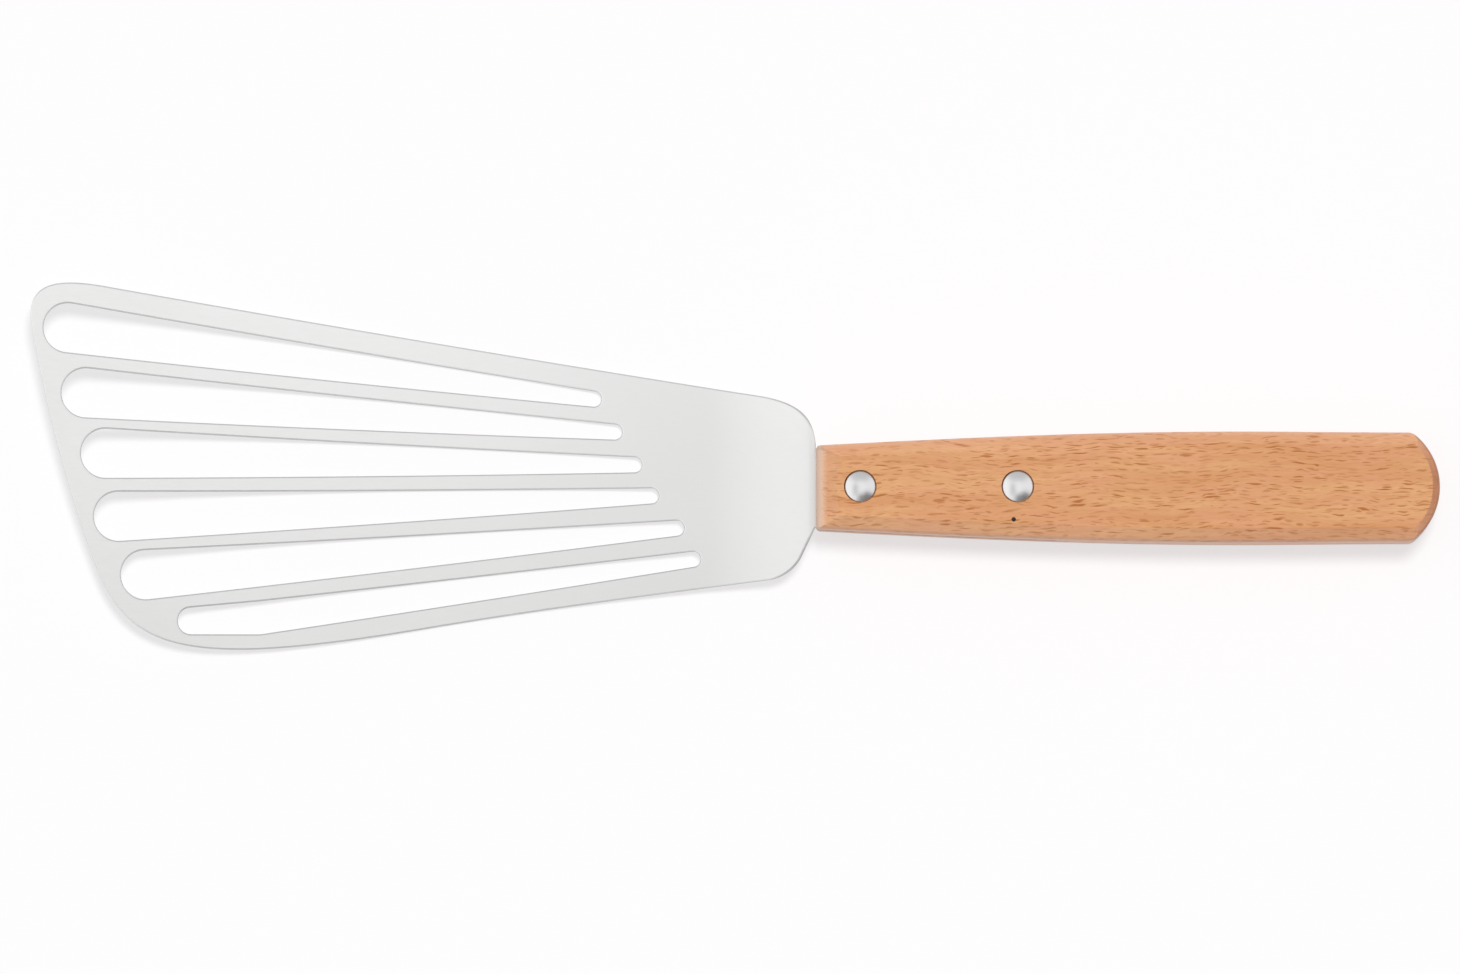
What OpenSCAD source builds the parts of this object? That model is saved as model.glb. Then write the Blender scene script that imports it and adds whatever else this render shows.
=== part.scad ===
// Slotted turner: a bowed steel blade with a fan of tapered slots, whose half tang sits in the
// saw kerf of a one-piece beech handle and is held there by two pairs of two-piece rivets.
// +X runs from the blade's leading edge to the butt, +Y across the blade towards its long corner,
// +Z up from the table. The origin is under the middle of the whole turner, on the table.

/* [Blade] */
// Length of the blade, from its leading edge to the front of the handle
blade_l = 164.4; // [145:0.2:190]
// Width of the blade across its leading end
blade_w = 76.7; // [68:0.1:86]
// Thickness of the steel sheet
sheet_t = 1; // [0.8:0.1:1.5]
// Radius of the bow that lifts the leading edge off the table
bow_r = 450; // [380:10:700]
// Flat length of the tang between the end of the crank and the handle
tang_lead = 0.6; // [0.4:0.1:1.5]
// How far the tang runs on past the rear rivet
tang_past = 6.5; // [5:0.5:9]
// Radius of the tang's rear corners
tang_corner_r = 4; // [2:0.5:6]
// How far each side of the tang lies inside the front of the handle
tang_inset = 0.35; // [0.2:0.05:0.8]

/* [Slots] */
// Radius of the wide leading ends of the long slots
slot_lead_r = 5.15; // [4.6:0.05:5.4]
// Radius of the narrow rear ends of all slots
slot_rear_r = 1.6; // [1.3:0.1:1.9]
// Radius of the leading end of the short slot by the lower edge
short_lead_r = 2.8; // [2.5:0.1:3.1]
// Radius of the short slot where it is widest
short_wide_r = 3.45; // [3.2:0.05:3.6]

/* [Handle] */
// Length of the handle
handle_l = 130.3; // [115:0.1:150]
// Thickness of the handle between its two flat faces
handle_t = 15; // [13:0.5:18]
// Width of the handle at its front
front_w = 17.4; // [16.4:0.1:19]
// Width of the handle at its widest place
widest_w = 23.2; // [21.6:0.1:25]
// Width of the handle where the butt's corners start
tail_w = 22.8; // [21:0.1:24]
// Radius of the arc that ends the butt
butt_r = 14; // [13:0.5:18]
// Radius of the butt's two corners, seen from above
butt_corner_r = 2.5; // [1.5:0.5:5]
// Radius of the front's two corners, seen from above
front_corner_r = 0.8; // [0.5:0.1:2]
// Width of the bevels along the two sides
side_bevel_w = 2.8; // [2:0.1:4]
// Height of the bevels along the two sides
side_bevel_h = 2.6; // [1.5:0.1:3.5]
// Length of the bevel at the front
front_bevel_l = 4.8; // [3:0.1:5.5]
// Height of the bevel at the front
front_bevel_h = 4.2; // [3:0.1:5]
// Length of the bevel around the butt
butt_bevel_l = 1.6; // [1:0.1:3]
// Height of the bevel around the butt
butt_bevel_h = 2; // [1:0.1:3]
// Clearance between the tang and each cheek of the kerf
kerf_clear = 0.05; // [0.02:0.01:0.15]
// Space left in the kerf behind the tang
kerf_past = 1.5; // [1:0.5:4]

/* [Rivets] */
// From the front of the handle to the front rivet
rivet_lead = 9.2; // [8:0.1:12]
// From the front rivet to the rear rivet
rivet_pitch = 32.9; // [28:0.1:38]
// Radius of the rivet heads
head_r = 3.25; // [2.9:0.05:3.8]
// Thickness of a head at its rim
rim_t = 1; // [0.8:0.1:1.6]
// Height of the domed crown above the rim
crown_h = 0.7; // [0.4:0.05:0.9]
// How far the crown stands proud of the wood
crown_proud = 0.3; // [0.1:0.05:0.35]
// Clearance around a head in its counterbore
head_clear = 0.15; // [0.1:0.05:0.3]
// Radius of the barrel on the cap half
barrel_r = 2.1; // [1.9:0.1:2.5]
// Clearance around the barrel in the wood and in the tang
barrel_clear = 0.1; // [0.05:0.05:0.2]
// Space between the barrel's mouth and the head of the post half
barrel_gap = 0.5; // [0.2:0.1:1]
// Radius of the pin on the post half
pin_r = 1.3; // [1.1:0.1:1.5]
// Clearance between the pin and the barrel's bore
pin_clear = 0.02; // [0.01:0.01:0.05]
// Length of the pin inside the barrel
pin_grip = 8; // [6:0.5:9]
// Space between the pin's tip and the floor of the barrel's bore
pin_past = 0.5; // [0.3:0.1:1]
// Chamfer of the pin's tip
pin_chamfer = 0.3; // [0.1:0.1:0.5]

/* [Hidden] */

// Overrun of every cut past the face that it leaves
over = 3;
// Segments of a full circle where the rebuild keeps it as a true circle
round_fn = 48;
// Straight steps along one curved stretch of the blade's outline
turn_steps = 10;
// Largest turn in degrees between two points of a slot's round end
slot_step = 12;
// Steps along the bow, along the crank and around the lip of the handle's bevels
bow_steps = 22;
crank_steps = 16;
lip_steps = 4;
// Steps along the handle's front corner, its side, its butt corner and half of its butt
front_steps = 3;
side_steps = 20;
corner_steps = 5;
butt_steps = 7;

// Curved stretches of the blade's outline, from the long corner round to the heel: start, corner
// that the curve is drawn towards, end, each as shares of the blade's length from its leading edge
// and of its width from its lowest point, and then how full the curve is
outline_shares = [
    [[0.0897, 0.9927], [-0.0092, 1.0258], [0.0025, 0.8803], 0.7],
    [[0.0025, 0.8803], [0.0282, 0.556], [0.0814, 0.2407], 0.667],
    [[0.0814, 0.2407], [0.1223, -0.0025], [0.2678, 0], 0.75],
    [[0.2678, 0], [0.348, 0.001], [0.5096, 0.0609], 0.667],
    [[0.5096, 0.0609], [0.6805, 0.1231], [0.9395, 0.1885], 0.667],
    [[0.9395, 0.1885], [0.9698, 0.1957], [0.982, 0.2535], 0.6]
];
// The heel's upper curve starts here and is drawn towards the second point, in the same shares
heel_top_shares = [[0.9191, 0.6958], [1.001, 0.6695]];
heel_top_fullness_share = 0.745;
// Height of the handle's centre line as a share of the blade's width
handle_line_share = 0.4375;
// How far the heel's slanted edge stops short of the handle
heel_gap = 0.2;
// How far the heel's upper curve runs on below the tang's upper side
heel_tuck = 1.3;
// How far the tang's outline reaches into the blade
tang_root = 4;

// Centres of the long slots' leading and rear ends, in shares as above, from the top slot down
long_slot_shares = [
    [[0.0484, 0.8759], [0.7171, 0.687]],
    [[0.0713, 0.6985], [0.7436, 0.5967]],
    [[0.096, 0.5339], [0.7688, 0.5067]],
    [[0.1126, 0.3621], [0.7903, 0.4215]],
    [[0.1469, 0.2031], [0.8225, 0.3329]]
];
// Centres of the short slot's leading end, its widest place and its rear end
short_slot_shares = [[0.2048, 0.0779], [0.2907, 0.0872], [0.8435, 0.2475]];

// Where the bow touches the table and where the crank starts, as shares of the blade's length
belly_share = 0.56;
crank_share = 0.86;
// How far the crank's curve leans on its two end tangents, as shares of its run
crank_lead_share = 0.4;
crank_tail_share = 0.05;
// Where the handle is widest, as a share of its length
widest_share = 0.68;
// Smallest radius of a corner once a bevel has eaten into it
least_corner_r = 0.4;
// Share of a bevel's width that its rounded lip takes, and how far in degrees the lip turns
lip_share = 0.34;
lip_turn = 60;

total_l = blade_l + handle_l;
tang_w = front_w - 2 * tang_inset;
rear_rivet = rivet_lead + rivet_pitch;
tang_l = rear_rivet + tang_past;
kerf_l = tang_l + kerf_past;

// Heights above the handle's middle plane, and that plane's height above the table
seat_h = handle_t / 2 + crown_proud - crown_h - rim_t;
crown_top = handle_t / 2 + crown_proud;
middle_z = crown_top;
dome_r = (pow(head_r, 2) + pow(crown_h, 2)) / (2 * crown_h);
barrel_mouth = seat_h - barrel_gap;
pin_tip = barrel_mouth - pin_grip;

function placed(share) = [share[0] * blade_l, share[1] * blade_w];

function bezier(a, b, c, d, t) =
    a * pow(1 - t, 3) + b * 3 * t * pow(1 - t, 2) + c * 3 * pow(t, 2) * (1 - t) + d * pow(t, 3);

function bezier_way(a, b, c, d, t) =
    (b - a) * pow(1 - t, 2) + (c - b) * 2 * t * (1 - t) + (d - c) * pow(t, 2);

// Points of a curve from a to b that is drawn towards a corner
function turn(a, corner, b, fullness) = [
    for (i = [0 : turn_steps])
        bezier(a, a + (corner - a) * fullness, b + (corner - b) * fullness, b, i / turn_steps)
];

function arc(centre, r, from, to, steps) = [
    for (i = [0 : steps])
        let (a = from + (to - from) * i / steps)
        centre + r * [cos(a), sin(a)]
];

handle_line = handle_line_share * blade_w;
heel_top_end = [blade_l, handle_line + tang_w / 2 - heel_tuck];

blade_outline = concat(
    [for (s = outline_shares) each turn(placed(s[0]), placed(s[1]), placed(s[2]), s[3])],
    [[blade_l - heel_gap, handle_line - tang_w / 2], [blade_l, handle_line - tang_w / 2]],
    [for (i = [0 : turn_steps])
        turn(placed(heel_top_shares[0]), placed(heel_top_shares[1]), heel_top_end,
            heel_top_fullness_share)[turn_steps - i]]
);

// The outline's own box, which puts the turner over the origin
low_x = min([for (p = blade_outline) p[0]]);
low_y = min([for (p = blade_outline) p[1]]);
high_y = max([for (p = blade_outline) p[1]]);
shift = [-(low_x + total_l) / 2, -(low_y + high_y) / 2];

front_x = blade_l + shift[0];
handle_y = handle_line + shift[1];

// Outline around a chain of circles, each given as centre and radius, along their outer tangents
function way(a, b) = atan2(b[0][1] - a[0][1], b[0][0] - a[0][0]);
function splay(a, b) = acos((a[1] - b[1]) / norm(b[0] - a[0]));
// An arc that would turn backwards, where the outline is hollow, becomes the one point between
function slot_arc(c, from, to) =
    to > from
    ? arc(c[0], c[1], from, to, ceil((to - from) / slot_step))
    : [c[0] + c[1] * [cos((from + to) / 2), sin((from + to) / 2)]];
function chain_outline(c) =
    let (
        last = len(c) - 1,
        w = [for (i = [0 : last - 1]) way(c[i], c[i + 1])],
        s = [for (i = [0 : last - 1]) splay(c[i], c[i + 1])]
    )
    concat(
        slot_arc(c[0], w[0] + s[0], w[0] + 360 - s[0]),
        [for (i = [1 : 1 : last - 1]) each slot_arc(c[i], w[i - 1] - s[i - 1], w[i] - s[i])],
        slot_arc(c[last], w[last - 1] - s[last - 1], w[last - 1] + s[last - 1]),
        [for (i = [last - 1 : -1 : 1]) each slot_arc(c[i], w[i] + s[i], w[i - 1] + s[i - 1])]
    );

slots = concat(
    [for (s = long_slot_shares) [[placed(s[0]), slot_lead_r], [placed(s[1]), slot_rear_r]]],
    [[
        [placed(short_slot_shares[0]), short_lead_r],
        [placed(short_slot_shares[1]), short_wide_r],
        [placed(short_slot_shares[2]), slot_rear_r]
    ]]
);

// Middle line of the sheet seen from the side, as distance from the leading edge, height and way
belly_x = belly_share * blade_l;
crank_x = crank_share * blade_l;
crank_way = asin((crank_x - belly_x) / bow_r);
tip_way = -asin((belly_x + over) / bow_r);

function on_bow(a) = [belly_x + bow_r * sin(a), sheet_t / 2 + bow_r * (1 - cos(a))];

crank_start = on_bow(crank_way);
crank_end = [blade_l - tang_lead, middle_z];
crank_run = crank_end[0] - crank_start[0];
crank_lead = crank_start + crank_lead_share * crank_run * [1, tan(crank_way)];
crank_tail = crank_end - [crank_tail_share * crank_run, 0];

middle_line = concat(
    [for (i = [0 : bow_steps])
        let (a = tip_way + (crank_way - tip_way) * i / bow_steps)
        [on_bow(a), a]],
    [for (i = [1 : crank_steps])
        let (
            t = i / crank_steps,
            p = bezier(crank_start, crank_lead, crank_tail, crank_end, t),
            v = bezier_way(crank_start, crank_lead, crank_tail, crank_end, t)
        )
        [p, atan2(v[1], v[0])]],
    [[[blade_l + tang_l + over, middle_z], 0]]
);

function beside(m, h) = m[0] + h * [-sin(m[1]), cos(m[1])];

module side_profile() {
    last = len(middle_line) - 1;
    polygon(concat(
        [for (m = middle_line) beside(m, -sheet_t / 2)],
        [for (i = [0 : last]) beside(middle_line[last - i], sheet_t / 2)]
    ));
}

module tang_outline() {
    end = blade_l + tang_l;
    inner = [end - tang_corner_r, tang_w / 2 - tang_corner_r];
    polygon(concat(
        [[blade_l - tang_root, handle_line + tang_w / 2], [blade_l - tang_root, handle_line - tang_w / 2]],
        arc([inner[0], handle_line - inner[1]], tang_corner_r, -90, 0, turn_steps),
        arc([inner[0], handle_line + inner[1]], tang_corner_r, 0, 90, turn_steps)
    ));
}

// Sheet blade with its half tang: the plan outline, less the slots, cut from the bowed profile
module blade() {
    color([0.8, 0.8, 0.79])
    translate([shift[0], shift[1], 0])
    difference() {
        intersection() {
            translate([0, 0, -over])
            linear_extrude(2 * crown_top + 2 * over)
            difference() {
                union() {
                    polygon(blade_outline);
                    tang_outline();
                }
                for (s = slots) polygon(chain_outline(s));
            }
            translate([0, high_y + over, 0])
            rotate([90, 0, 0])
            linear_extrude(high_y - low_y + 2 * over)
            side_profile();
        }
        for (x = [rivet_lead, rear_rivet])
            translate([blade_l + x, handle_line, middle_z - sheet_t / 2 - over])
            cylinder(h = sheet_t + 2 * over, r = barrel_r + barrel_clear, $fn = round_fn);
    }
}

// Half width of the handle at a distance from its front
widest_x = widest_share * handle_l;
tail_x = handle_l - butt_r + corner_run(butt_r, tail_w / 2, butt_corner_r);
function half_w(x) =
    x < widest_x
    ? front_w / 2 + (widest_w - front_w) / 2 * sin(90 * x / widest_x)
    : tail_w / 2 + (widest_w - tail_w) / 4 * (1 + cos(180 * min(1, (x - widest_x) / (tail_x - widest_x))));

// How far ahead of the butt arc's centre a butt corner's own centre lies
function corner_run(r, w, corner) = sqrt(pow(r - corner, 2) - pow(w - corner, 2));

// Upper half of the handle's plan outline, drawn in by front, side and butt, each point with the
// height of the bevel there
function half_ring(front, side, butt) =
    let (
        fr = max(least_corner_r, front_corner_r - side),
        br = max(least_corner_r, butt_corner_r - side),
        r = butt_r - butt,
        w = tail_w / 2 - side,
        butt_x = handle_l - butt_r,
        corner_x = butt_x + corner_run(r, w, br),
        lean = atan2(w - br, corner_x - butt_x),
        side_x = front + fr
    )
    concat(
        [for (i = [0 : front_steps])
            let (a = 180 - 90 * i / front_steps)
            [side_x + fr * cos(a), half_w(side_x) - side - fr + fr * sin(a),
                front_bevel_h + (side_bevel_h - front_bevel_h) * i / front_steps]],
        [for (i = [1 : side_steps - 1])
            let (x = side_x + (corner_x - side_x) * i / side_steps)
            [x, half_w(x) - side, side_bevel_h]],
        [for (i = [0 : corner_steps])
            let (a = 90 + (lean - 90) * i / corner_steps)
            [corner_x + br * cos(a), w - br + br * sin(a),
                side_bevel_h + (butt_bevel_h - side_bevel_h) * i / corner_steps]],
        [for (i = [1 : butt_steps])
            let (a = lean * (1 - i / butt_steps))
            [butt_x + r * cos(a), r * sin(a), butt_bevel_h]]
    );

// Steps up a bevel, as shares of its width and height: a lip that rounds over, then a flat
lip_rise_share = 1 / (1 + (1 / lip_share - 1) * cos(lip_turn) / (1 + cos(lip_turn)));
bevel_shares = concat(
    [for (i = [0 : lip_steps])
        let (a = lip_turn * i / lip_steps)
        [lip_share * (1 - cos(a)) / (1 - cos(lip_turn)), lip_rise_share * sin(a) / sin(lip_turn)]],
    [[1, 1]]
);

// One closed ring of the handle's skin, at one step of its bevels and on one side of the middle
function ring(step, up) =
    let (
        half = half_ring(front_bevel_l * step[0], side_bevel_w * step[0], butt_bevel_l * step[0]),
        last = len(half) - 1
    )
    concat(
        [for (p = half) [p[0], p[1], up * (handle_t / 2 - p[2] * (1 - step[1]))]],
        [for (i = [1 : last])
            let (p = half[last - i])
            [p[0], -p[1], up * (handle_t / 2 - p[2] * (1 - step[1]))]]
    );

// Solid handle: a flat slab whose plan outline is drawn in ring by ring up its bevels
module handle_body() {
    last = len(bevel_shares) - 1;
    rings = concat(
        [for (i = [0 : last]) ring(bevel_shares[last - i], -1)],
        [for (b = bevel_shares) ring(b, 1)]
    );
    n = len(rings[0]);
    top = n * (len(rings) - 1);
    polyhedron(
        points = [for (r = rings) each r],
        faces = concat(
            [[for (i = [n - 1 : -1 : 0]) i]],
            [for (k = [0 : len(rings) - 2], i = [0 : n - 1])
                [n * k + i, n * k + (i + 1) % n, n * k + n + i]],
            [for (k = [0 : len(rings) - 2], i = [0 : n - 1])
                [n * k + (i + 1) % n, n * k + n + (i + 1) % n, n * k + n + i]],
            [[for (i = [0 : n - 1]) top + i]]
        )
    );
}

// One-piece beech handle with its saw kerf, two through bores and a counterbore for each head
module handle() {
    color([0.87, 0.65, 0.47])
    translate([front_x, handle_y, middle_z])
    difference() {
        handle_body();
        translate([-over, -widest_w / 2 - over, -sheet_t / 2 - kerf_clear])
        cube([kerf_l + over, widest_w + 2 * over, sheet_t + 2 * kerf_clear]);
        for (x = [rivet_lead, rear_rivet]) {
            translate([x, 0, -handle_t / 2 - over])
            cylinder(h = handle_t + 2 * over, r = barrel_r + barrel_clear, $fn = round_fn);
            for (up = [0, 1])
                mirror([0, 0, up])
                translate([x, 0, seat_h])
                cylinder(h = handle_t, r = head_r + head_clear, $fn = round_fn);
        }
    }
}

// Domed rivet head that stands on its seat in the wood
module head() {
    intersection() {
        translate([0, 0, seat_h])
        cylinder(h = crown_top - seat_h + over, r = head_r, $fn = round_fn);
        translate([0, 0, crown_top - dome_r])
        sphere(dome_r, $fn = 2 * round_fn);
    }
}

// Post half of a rivet: its head on the upper face, and a pin that reaches down into the barrel
module rivet_post() {
    head();
    translate([0, 0, pin_tip + pin_chamfer])
    cylinder(h = seat_h + rim_t / 2 - pin_tip - pin_chamfer, r = pin_r, $fn = round_fn);
    translate([0, 0, pin_tip])
    cylinder(h = pin_chamfer, r1 = pin_r - pin_chamfer, r2 = pin_r, $fn = round_fn);
}

// Cap half of a rivet: its head on the lower face, and a barrel up through the wood and the tang
module rivet_cap() {
    difference() {
        union() {
            mirror([0, 0, 1]) head();
            translate([0, 0, -seat_h - rim_t / 2])
            cylinder(h = barrel_mouth + seat_h + rim_t / 2, r = barrel_r, $fn = round_fn);
        }
        translate([0, 0, pin_tip - pin_past])
        cylinder(h = barrel_mouth - pin_tip + pin_past + over, r = pin_r + pin_clear, $fn = round_fn);
    }
}

module at_rivet(x) {
    translate([front_x + x, handle_y, middle_z]) children();
}

module front_rivet_post() {
    color("gainsboro") at_rivet(rivet_lead) rivet_post();
}

module front_rivet_cap() {
    color("silver") at_rivet(rivet_lead) rivet_cap();
}

module rear_rivet_post() {
    color("gainsboro") at_rivet(rear_rivet) rivet_post();
}

module rear_rivet_cap() {
    color("silver") at_rivet(rear_rivet) rivet_cap();
}

blade();
handle();
front_rivet_post();
front_rivet_cap();
rear_rivet_post();
rear_rivet_cap();
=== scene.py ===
# Looks of the slotted turner: satin steel blade, beech handle and turned rivets.
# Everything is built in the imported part's own frame, in millimetres times MM.

import math
from collections import Counter

import bpy
import numpy as np
from mathutils import Matrix, Vector, geometry


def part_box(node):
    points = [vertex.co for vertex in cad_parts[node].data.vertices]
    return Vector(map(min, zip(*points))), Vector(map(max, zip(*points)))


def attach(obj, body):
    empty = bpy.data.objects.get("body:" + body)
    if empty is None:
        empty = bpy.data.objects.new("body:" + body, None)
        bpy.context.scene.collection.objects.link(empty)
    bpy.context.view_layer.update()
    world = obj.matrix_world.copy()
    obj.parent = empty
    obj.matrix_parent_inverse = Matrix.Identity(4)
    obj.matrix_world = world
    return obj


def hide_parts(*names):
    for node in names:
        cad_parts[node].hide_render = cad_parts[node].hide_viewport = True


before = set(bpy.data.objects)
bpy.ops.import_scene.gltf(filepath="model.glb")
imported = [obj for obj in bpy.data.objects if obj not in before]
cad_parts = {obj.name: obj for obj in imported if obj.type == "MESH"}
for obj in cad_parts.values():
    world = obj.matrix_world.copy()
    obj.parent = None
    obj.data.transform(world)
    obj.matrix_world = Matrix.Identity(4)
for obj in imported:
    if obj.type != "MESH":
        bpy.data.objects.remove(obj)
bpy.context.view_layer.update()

MM = 0.001

# Sizes of the part
BLADE_L = 164.4
BLADE_W = 76.7
SHEET_T = 1.0
BOW_R = 450.0
TANG_LEAD = 0.6
TANG_PAST = 6.5
TANG_CORNER_R = 4.0
TANG_INSET = 0.35
SLOT_LEAD_R = 5.15
SLOT_REAR_R = 1.6
SHORT_LEAD_R = 2.8
SHORT_WIDE_R = 3.45
HANDLE_L = 130.3
HANDLE_T = 15.0
FRONT_W = 17.4
WIDEST_W = 23.2
TAIL_W = 22.8
BUTT_R = 14.0
BUTT_CORNER_R = 2.5
FRONT_CORNER_R = 0.8
LEAST_CORNER_R = 0.4
SIDE_BEVEL_W = 2.8
SIDE_BEVEL_H = 2.6
FRONT_BEVEL_L = 4.8
FRONT_BEVEL_H = 4.2
BUTT_BEVEL_L = 1.6
BUTT_BEVEL_H = 2.0
LIP_SHARE = 0.34
LIP_TURN = math.radians(60)
KERF_CLEAR = 0.05
KERF_PAST = 1.5
RIVET_LEAD = 9.2
RIVET_PITCH = 32.9
HEAD_R = 3.25
RIM_T = 1.0
CROWN_H = 0.7
CROWN_PROUD = 0.3
HEAD_CLEAR = 0.15
BARREL_R = 2.1
BARREL_CLEAR = 0.1
BARREL_GAP = 0.5
PIN_R = 1.3
PIN_CLEAR = 0.02
PIN_GRIP = 8.0
PIN_PAST = 0.5
PIN_CHAMFER = 0.3

OUTLINE_SHARES = [
    ((0.0897, 0.9927), (-0.0092, 1.0258), (0.0025, 0.8803), 0.7),
    ((0.0025, 0.8803), (0.0282, 0.556), (0.0814, 0.2407), 0.667),
    ((0.0814, 0.2407), (0.1223, -0.0025), (0.2678, 0), 0.75),
    ((0.2678, 0), (0.348, 0.001), (0.5096, 0.0609), 0.667),
    ((0.5096, 0.0609), (0.6805, 0.1231), (0.9395, 0.1885), 0.667),
    ((0.9395, 0.1885), (0.9698, 0.1957), (0.982, 0.2535), 0.6),
]
HEEL_TOP_SHARES = ((0.9191, 0.6958), (1.001, 0.6695))
HEEL_TOP_FULLNESS = 0.745
HANDLE_LINE = 0.4375 * BLADE_W
HEEL_GAP = 0.2
HEEL_TUCK = 1.3
LONG_SLOT_SHARES = [
    ((0.0484, 0.8759), (0.7171, 0.687)),
    ((0.0713, 0.6985), (0.7436, 0.5967)),
    ((0.096, 0.5339), (0.7688, 0.5067)),
    ((0.1126, 0.3621), (0.7903, 0.4215)),
    ((0.1469, 0.2031), (0.8225, 0.3329)),
]
SHORT_SLOT_SHARES = ((0.2048, 0.0779), (0.2907, 0.0872), (0.8435, 0.2475))
BELLY_X = 0.56 * BLADE_L
CRANK_X = 0.86 * BLADE_L
CRANK_LEAD = 0.4
CRANK_TAIL = 0.05
WIDEST_X = 0.68 * HANDLE_L

TANG_W = FRONT_W - 2 * TANG_INSET
REAR_RIVET = RIVET_LEAD + RIVET_PITCH
TANG_L = REAR_RIVET + TANG_PAST
KERF_L = TANG_L + KERF_PAST
SEAT_H = HANDLE_T / 2 + CROWN_PROUD - CROWN_H - RIM_T
CROWN_TOP = HANDLE_T / 2 + CROWN_PROUD
MIDDLE_Z = CROWN_TOP
DOME_R = (HEAD_R**2 + CROWN_H**2) / (2 * CROWN_H)
BARREL_MOUTH = SEAT_H - BARREL_GAP
PIN_TIP = BARREL_MOUTH - PIN_GRIP

# Softness of the visible edges: the sheet's cut edges, the inner creases of the handle's bevels
# and the rims of the rivet heads, which spread a little into their clearance
EDGE_R = 0.34
CREASE_SHARE = 0.07
HEAD_SOFT_R = 0.14
HEAD_SPREAD = 0.13

# How far a cut face has to look along the blade before it stands fully square to the sheet
FULLY_DRAWN = 0.3

# Angles in degrees from which an edge is shaded sharp
WOOD_SHARP = 24
RIVET_SHARP = 40

# Steps along curves, with arcs stepped in degrees and the sheet's rims and inner points in mm
TURN_STEPS = 24
HEEL_STEPS = 28
ARC_STEP = 6.0
BORE_STEP = 10.0
BOW_STEPS = 219
CRANK_STEPS = 89
RIM_STEP = 1.4
EDGE_STEPS = 5
GRID_STEP = 3.0
CRANK_GRID_STEP = 0.9
TANG_GRID_STEP = 5.0
FRONT_STEPS = 6
SIDE_STEPS = 60
CORNER_STEPS = 10
BUTT_STEPS = 16
LIP_STEPS = 8
CREASE_STEPS = 4
HEAD_SOFT_STEPS = 5
CROWN_STEPS = 18
LATHE_SEGMENTS = 96

# How far the profile and the cutters run past what they form
PROFILE_OVER = 3.0
KERF_OVER = 5.0
KERF_HALF_W = 20.0
DRILL_END = 9.0

# Where the handle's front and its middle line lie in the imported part
handle_low, handle_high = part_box("handle")
FRONT_X = handle_low.x / MM
HANDLE_Y = (handle_low.y + handle_high.y) / 2 / MM
SHIFT = np.array([FRONT_X - BLADE_L, HANDLE_Y - HANDLE_LINE])


# Meshes


def link(thing):
    bpy.context.scene.collection.objects.link(thing)


def make_object(name, vertices, faces, normals=None):
    mesh = bpy.data.meshes.new(name)
    mesh.from_pydata([tuple(v) for v in vertices], [], [tuple(f) for f in faces])
    mesh.polygons.foreach_set("use_smooth", [True] * len(mesh.polygons))
    if normals is not None:
        mesh.normals_split_custom_set_from_vertices([tuple(n) for n in normals])
    mesh.update()
    made = bpy.data.objects.new(name, mesh)
    link(made)
    return made


def bezier(a, b, c, d, t):
    return a * (1 - t) ** 3 + b * 3 * t * (1 - t) ** 2 + c * 3 * t**2 * (1 - t) + d * t**3


def turn(a, corner, b, fullness, steps):
    """Points of a curve from a to b that is drawn towards a corner."""
    a, corner, b = (np.array(p, float) for p in (a, corner, b))
    c1 = a + (corner - a) * fullness
    c2 = b + (corner - b) * fullness
    return [bezier(a, c1, c2, b, i / steps) for i in range(steps + 1)]


def arc(centre, r, start, end, step=ARC_STEP):
    count = max(1, math.ceil(abs(end - start) / step))
    angles = np.radians(np.linspace(start, end, count + 1))
    return [np.array(centre) + r * np.array([math.cos(a), math.sin(a)]) for a in angles]


def placed(share):
    return np.array([share[0] * BLADE_L, share[1] * BLADE_W])


def blade_loop():
    """Outline of blade and tang in one, anticlockwise from the long corner."""
    points = []
    for a, corner, b, fullness in OUTLINE_SHARES:
        points += turn(placed(a), placed(corner), placed(b), fullness, TURN_STEPS)
    low = HANDLE_LINE - TANG_W / 2
    high = HANDLE_LINE + TANG_W / 2
    inner_x = BLADE_L + TANG_L - TANG_CORNER_R
    points.append(np.array([BLADE_L - HEEL_GAP, low]))
    points += arc((inner_x, low + TANG_CORNER_R), TANG_CORNER_R, -90, 0)
    points += arc((inner_x, high - TANG_CORNER_R), TANG_CORNER_R, 0, 90)
    start, corner = (placed(s) for s in HEEL_TOP_SHARES)
    end = (BLADE_L, high - HEEL_TUCK)
    heel = turn(start, corner, end, HEEL_TOP_FULLNESS, HEEL_STEPS)[::-1]
    above = [p for p in heel if p[1] > high]
    below = heel[len(heel) - len(above) - 1]
    share = (high - below[1]) / (above[0][1] - below[1])
    points.append(below + (above[0] - below) * share)
    return points + above


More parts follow.
